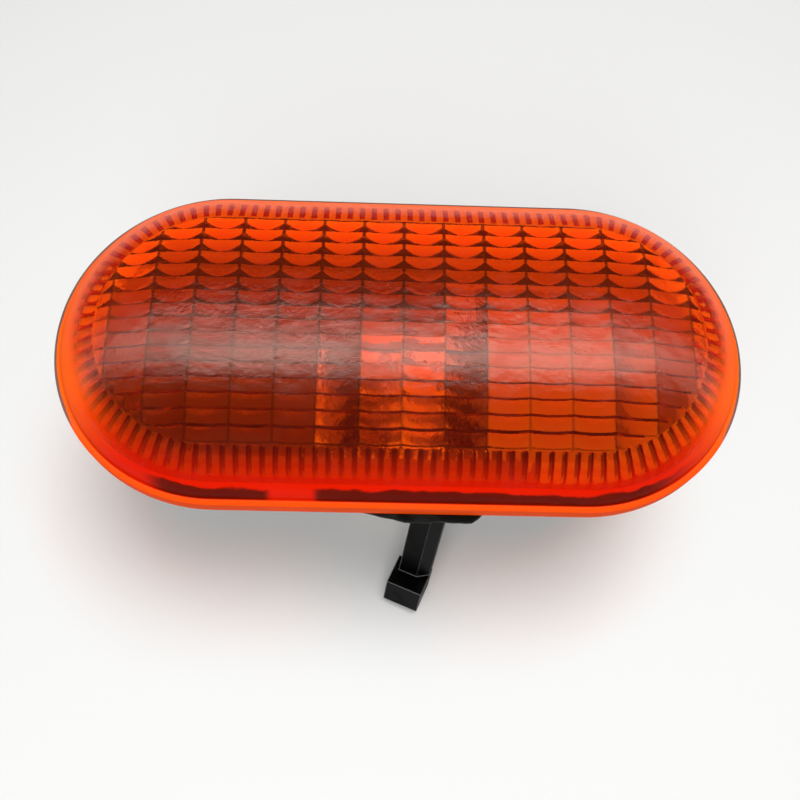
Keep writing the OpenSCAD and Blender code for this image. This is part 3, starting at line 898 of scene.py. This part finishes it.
def housing_plastic():
    """Moulded black plastic, with a silver finish inside the tub and the tower that carries painted
    light and shade.
    """
    material, tree, shader = new_material("housing_plastic")
    place = use(tree, "place")
    point = place["Millimetres"]
    grain = use(tree, "grain", Vector=point, Scale=7.0)["Height"]
    dust = use(tree, "patches", Vector=point, Scale=0.18, Cover=0.45)["Mask"]
    edges = use(tree, "edges")
    black = blend(tree, dust, HOUSING_CLEAN, HOUSING_DUSTY)
    black = blend(tree, maths(tree, "MULTIPLY", edges["Mask"], HOUSING_WEAR), black, HOUSING_WORN)
    # The silver finish has painted light and shade
    colour = blend(tree, silver_share(tree, place), black, silver_light_and_shade(tree, place))
    paint(tree, shader, colour, dust, roughness=0.38, rougher=0.6)
    bump(tree, shader, grain, depth=0.015, normal=edges["Normal"])
    return material


def leg_plastic():
    """Moulded black plastic with painted highlights on its corners, fine scuffs and dust."""
    material, tree, shader = new_material("leg_plastic", Specular_IOR_Level=0.06)
    point = use(tree, "place")["Millimetres"]
    grain = use(tree, "grain", Vector=point, Scale=9.0)["Height"]
    dust = use(tree, "patches", Vector=point, Scale=0.3, Cover=0.4)["Mask"]
    scuffs = use(tree, "scuffs", Vector=point, Scale=2.0, Cover=0.6)["Mask"]
    edges = use(tree, "edges", Radius=0.3 * MM, Reach=0.25)
    colour = blend(tree, dust, LEG_CLEAN, LEG_DUSTY)
    colour = blend(tree, maths(tree, "MULTIPLY", scuffs, LEG_SCUFF_SHARE), colour, LEG_SCUFFED)
    # Painted highlight: pale lines along the corners
    colour = blend(tree, maths(tree, "MULTIPLY", edges["Mask"], LEG_HIGHLIGHT_SHARE), colour, LEG_EDGE_HIGHLIGHT)
    paint(tree, shader, colour, dust, roughness=0.4, rougher=0.6)
    bump(tree, shader, grain, depth=0.01, normal=edges["Normal"])
    return material


def rubber(name, dark, dusty):
    """Matt rubber with a dusty bloom."""
    material, tree, shader = new_material(name, Specular_IOR_Level=0.15)
    point = use(tree, "place")["Millimetres"]
    bloom = use(tree, "patches", Vector=point, Scale=0.35, Cover=0.5)["Mask"]
    grain = use(tree, "grain", Vector=point, Scale=12.0)["Height"]
    paint(tree, shader, blend(tree, bloom, dark, dusty), bloom, roughness=0.62, rougher=0.85)
    bump(tree, shader, grain, depth=0.02)
    return material


def sealant():
    """Black bead of sealant, glossy and lumpy."""
    material, tree, shader = new_material("sealant_bead")
    point = use(tree, "place")["Millimetres"]
    lumps = use(tree, "grain", Vector=point, Scale=1.6)["Height"]
    film = use(tree, "patches", Vector=point, Scale=0.4, Cover=0.4)["Mask"]
    colour = blend(tree, film, SEALANT_CLEAN, SEALANT_DUSTY)
    paint(tree, shader, colour, film, roughness=0.3, rougher=0.55)
    bump(tree, shader, lumps, depth=0.15)
    return material


def nylon():
    """Natural nylon, a little yellowed, with a satin surface and painted shade on its sides."""
    material, tree, shader = new_material(
        "natural_nylon", Subsurface_Weight=0.15, Subsurface_Scale=0.6 * MM)
    place = use(tree, "place")
    point = place["Millimetres"]
    tone = use(tree, "patches", Vector=point, Scale=0.16, Cover=0.5)["Mask"]
    grain = use(tree, "grain", Vector=point, Scale=6.0)["Height"]
    edges = use(tree, "edges")
    pale = blend(tree, tone, NYLON_PALE, NYLON_YELLOWED)
    # Painted shade: the holder darkened on both sides of a band across its middle
    painted_shade = ramp(tree, maths(tree, "ABSOLUTE", place["Along"]), *NYLON_SHADE_SIDE, 0, NYLON_SHADE_SHARE)
    colour = blend(tree, painted_shade, pale, NYLON_PAINTED_SHADE)
    paint(tree, shader, colour, tone, roughness=0.34, rougher=0.5)
    bump(tree, shader, grain, depth=0.012, normal=edges["Normal"])
    return material


def bulb_glass():
    """Clear bulb glass with a faint smoky film."""
    material, tree, shader = new_material("bulb_glass", IOR=1.5, Transmission_Weight=1, Alpha=0.03)
    point = use(tree, "place")["Millimetres"]
    film = use(tree, "patches", Vector=point, Scale=0.25, Cover=0.4)["Mask"]
    colour = blend(tree, film, GLASS_CLEAN, GLASS_SMOKED)
    paint(tree, shader, colour, film, roughness=0.0, rougher=0.06)
    let_light_in(tree, shader.outputs[0], (1, 1, 1, 1))
    return material


def metal(name, bright, dull, roughness):
    """Drawn or stamped metal with fine lines and dull patches."""
    material, tree, shader = new_material(name)
    point = use(tree, "place")["Millimetres"]
    spots = use(tree, "patches", Vector=point, Scale=0.5, Cover=0.45)["Mask"]
    drawn = mapping(tree, point, scale=(9, 9, 0.4))
    lines = use(tree, "grain", Vector=drawn, Scale=1.0)["Height"]
    # A full metal would look black here, because it mirrors no lamp
    feed(tree, shader.inputs["Metallic"], ramp(tree, spots, 0, 1, *METAL_SHARE))
    colour = blend(tree, spots, bright, dull)
    paint(tree, shader, colour, spots, roughness, roughness + METAL_DULLING)
    bump(tree, shader, lines, depth=0.01)
    return material


def dress(material, *names):
    """Gives CAD nodes their finish."""
    for name in names:
        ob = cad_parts[name]
        ob.data.materials.clear()
        ob.data.materials.append(material)


def dress_nodes():
    """Dresses every CAD node that stays."""
    dress(housing_plastic(), "housing")
    dress(sealant(), "lens_sealant")
    dress(rubber("seal_rubber", SEAL_DARK, SEAL_DUSTY), "holder_seal")
    dress(leg_plastic(), "retaining_leg")
    dress(nylon(), "bulb_holder")
    dress(bulb_glass(), "bulb_glass")
    # Light passes only a few clear walls in a row, and the holder lies behind too many of them
    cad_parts["bulb_glass"].visible_shadow = False
    steel = metal("wire_steel", STEEL_BRIGHT, STEEL_DULL, roughness=0.25)
    dress(steel, "filament", "lead_wire_left", "lead_wire_right")
    brass = metal("contact_brass", BRASS_BRIGHT, BRASS_DULL, roughness=0.24)
    dress(brass, "contact_front", "contact_back")


def place_camera():
    """Camera at the photograph's viewing angle."""
    back = Vector((
        math.sin(CAMERA_YAW) * math.cos(CAMERA_TILT),
        -math.sin(CAMERA_TILT),
        math.cos(CAMERA_YAW) * math.cos(CAMERA_TILT),
    )).normalized()
    right = Vector((0, 1, 0)).cross(back).normalized()
    right = Matrix.Rotation(CAMERA_ROLL, 3, back) @ right
    up = back.cross(right)
    camera = bpy.data.objects.new("camera", bpy.data.cameras.new("camera"))
    bpy.context.scene.collection.objects.link(camera)
    camera.data.lens = FOCAL_LENGTH
    camera.data.sensor_width = SENSOR_WIDTH
    camera.data.clip_start = MM
    turned = Matrix((right, up, back)).transposed().to_4x4()
    camera.matrix_world = Matrix.Translation(CAMERA_AIM + CAMERA_DISTANCE * back) @ turned
    bpy.context.scene.camera = camera


def hang_lamp(name, power, size, place):
    """Soft square lamp turned to the object's middle, which shiny and clear surfaces don't show."""
    lamp = bpy.data.lights.new(name, "AREA")
    lamp.energy = power
    lamp.size = size
    hung = bpy.data.objects.new(name, lamp)
    bpy.context.scene.collection.objects.link(hung)
    hung.location = place
    hung.rotation_euler = place.to_track_quat("Z", "Y").to_euler()
    hung.visible_glossy = False
    hung.visible_transmission = False


def seen_level(tree):
    """Level of the dome that shiny and clear surfaces show: dim, with one soft bright strip."""
    where = node(tree, "ShaderNodeTexCoord").outputs["Generated"]
    turned = mapping(tree, where, (-STRIP_LEAN, 0, 0), (*STRIP_SPREAD, 1), "TEXTURE")
    apart = split(tree, turned)
    squares = [maths(tree, "POWER", apart[axis], 2) for axis in "XY"]
    fall = maths(tree, "POWER", math.exp(-0.5), maths(tree, "ADD", *squares))
    strip = product(tree, fall, maths(tree, "GREATER_THAN", apart["Z"], 0))
    return maths(tree, "MULTIPLY_ADD", strip, STRIP_LEVEL, SEEN_DOME_LEVEL)


def light_studio():
    """Pale dome and two soft lamps, with another dome for shiny and clear surfaces."""
    hang_lamp("key", KEY_POWER, KEY_SIZE, KEY_PLACE)
    hang_lamp("front", FRONT_POWER, FRONT_SIZE, FRONT_PLACE)
    world = bpy.data.worlds.new("studio")
    bpy.context.scene.world = world
    world.use_nodes = True
    tree = world.node_tree
    path = node(tree, "ShaderNodeLightPath").outputs
    seen = highest(tree, path["Is Glossy Ray"], path["Is Transmission Ray"])
    level = node(tree, "ShaderNodeMix", data_type="FLOAT")
    feed(tree, level.inputs["Factor"], seen)
    feed(tree, level.inputs["A"], DOME_LEVEL)
    feed(tree, level.inputs["B"], seen_level(tree))
    background = tree.nodes["Background"]
    feed(tree, background.inputs["Color"], blend(tree, seen, DOME_COLOUR, SEEN_DOME_COLOUR))
    feed(tree, background.inputs["Strength"], level.outputs["Result"])


def lay_floor():
    """Pale matt floor under the lamp's lowest point."""
    bpy.ops.object.select_all(action="DESELECT")
    bpy.ops.mesh.primitive_plane_add(size=FLOOR_SIZE, location=(0, 0, cad_box[0][2]))
    floor = bpy.context.object
    floor.name = "floor"
    pale = new_material("floor_pale", Base_Color=(*FLOOR_COLOUR, 1), Roughness=0.6)[0]
    floor.data.materials.append(pale)


bpy.context.scene.view_settings.view_transform = "Standard"
place_camera()
light_studio()
lay_floor()
dress_nodes()
amber_lens()
squeezed_gasket()
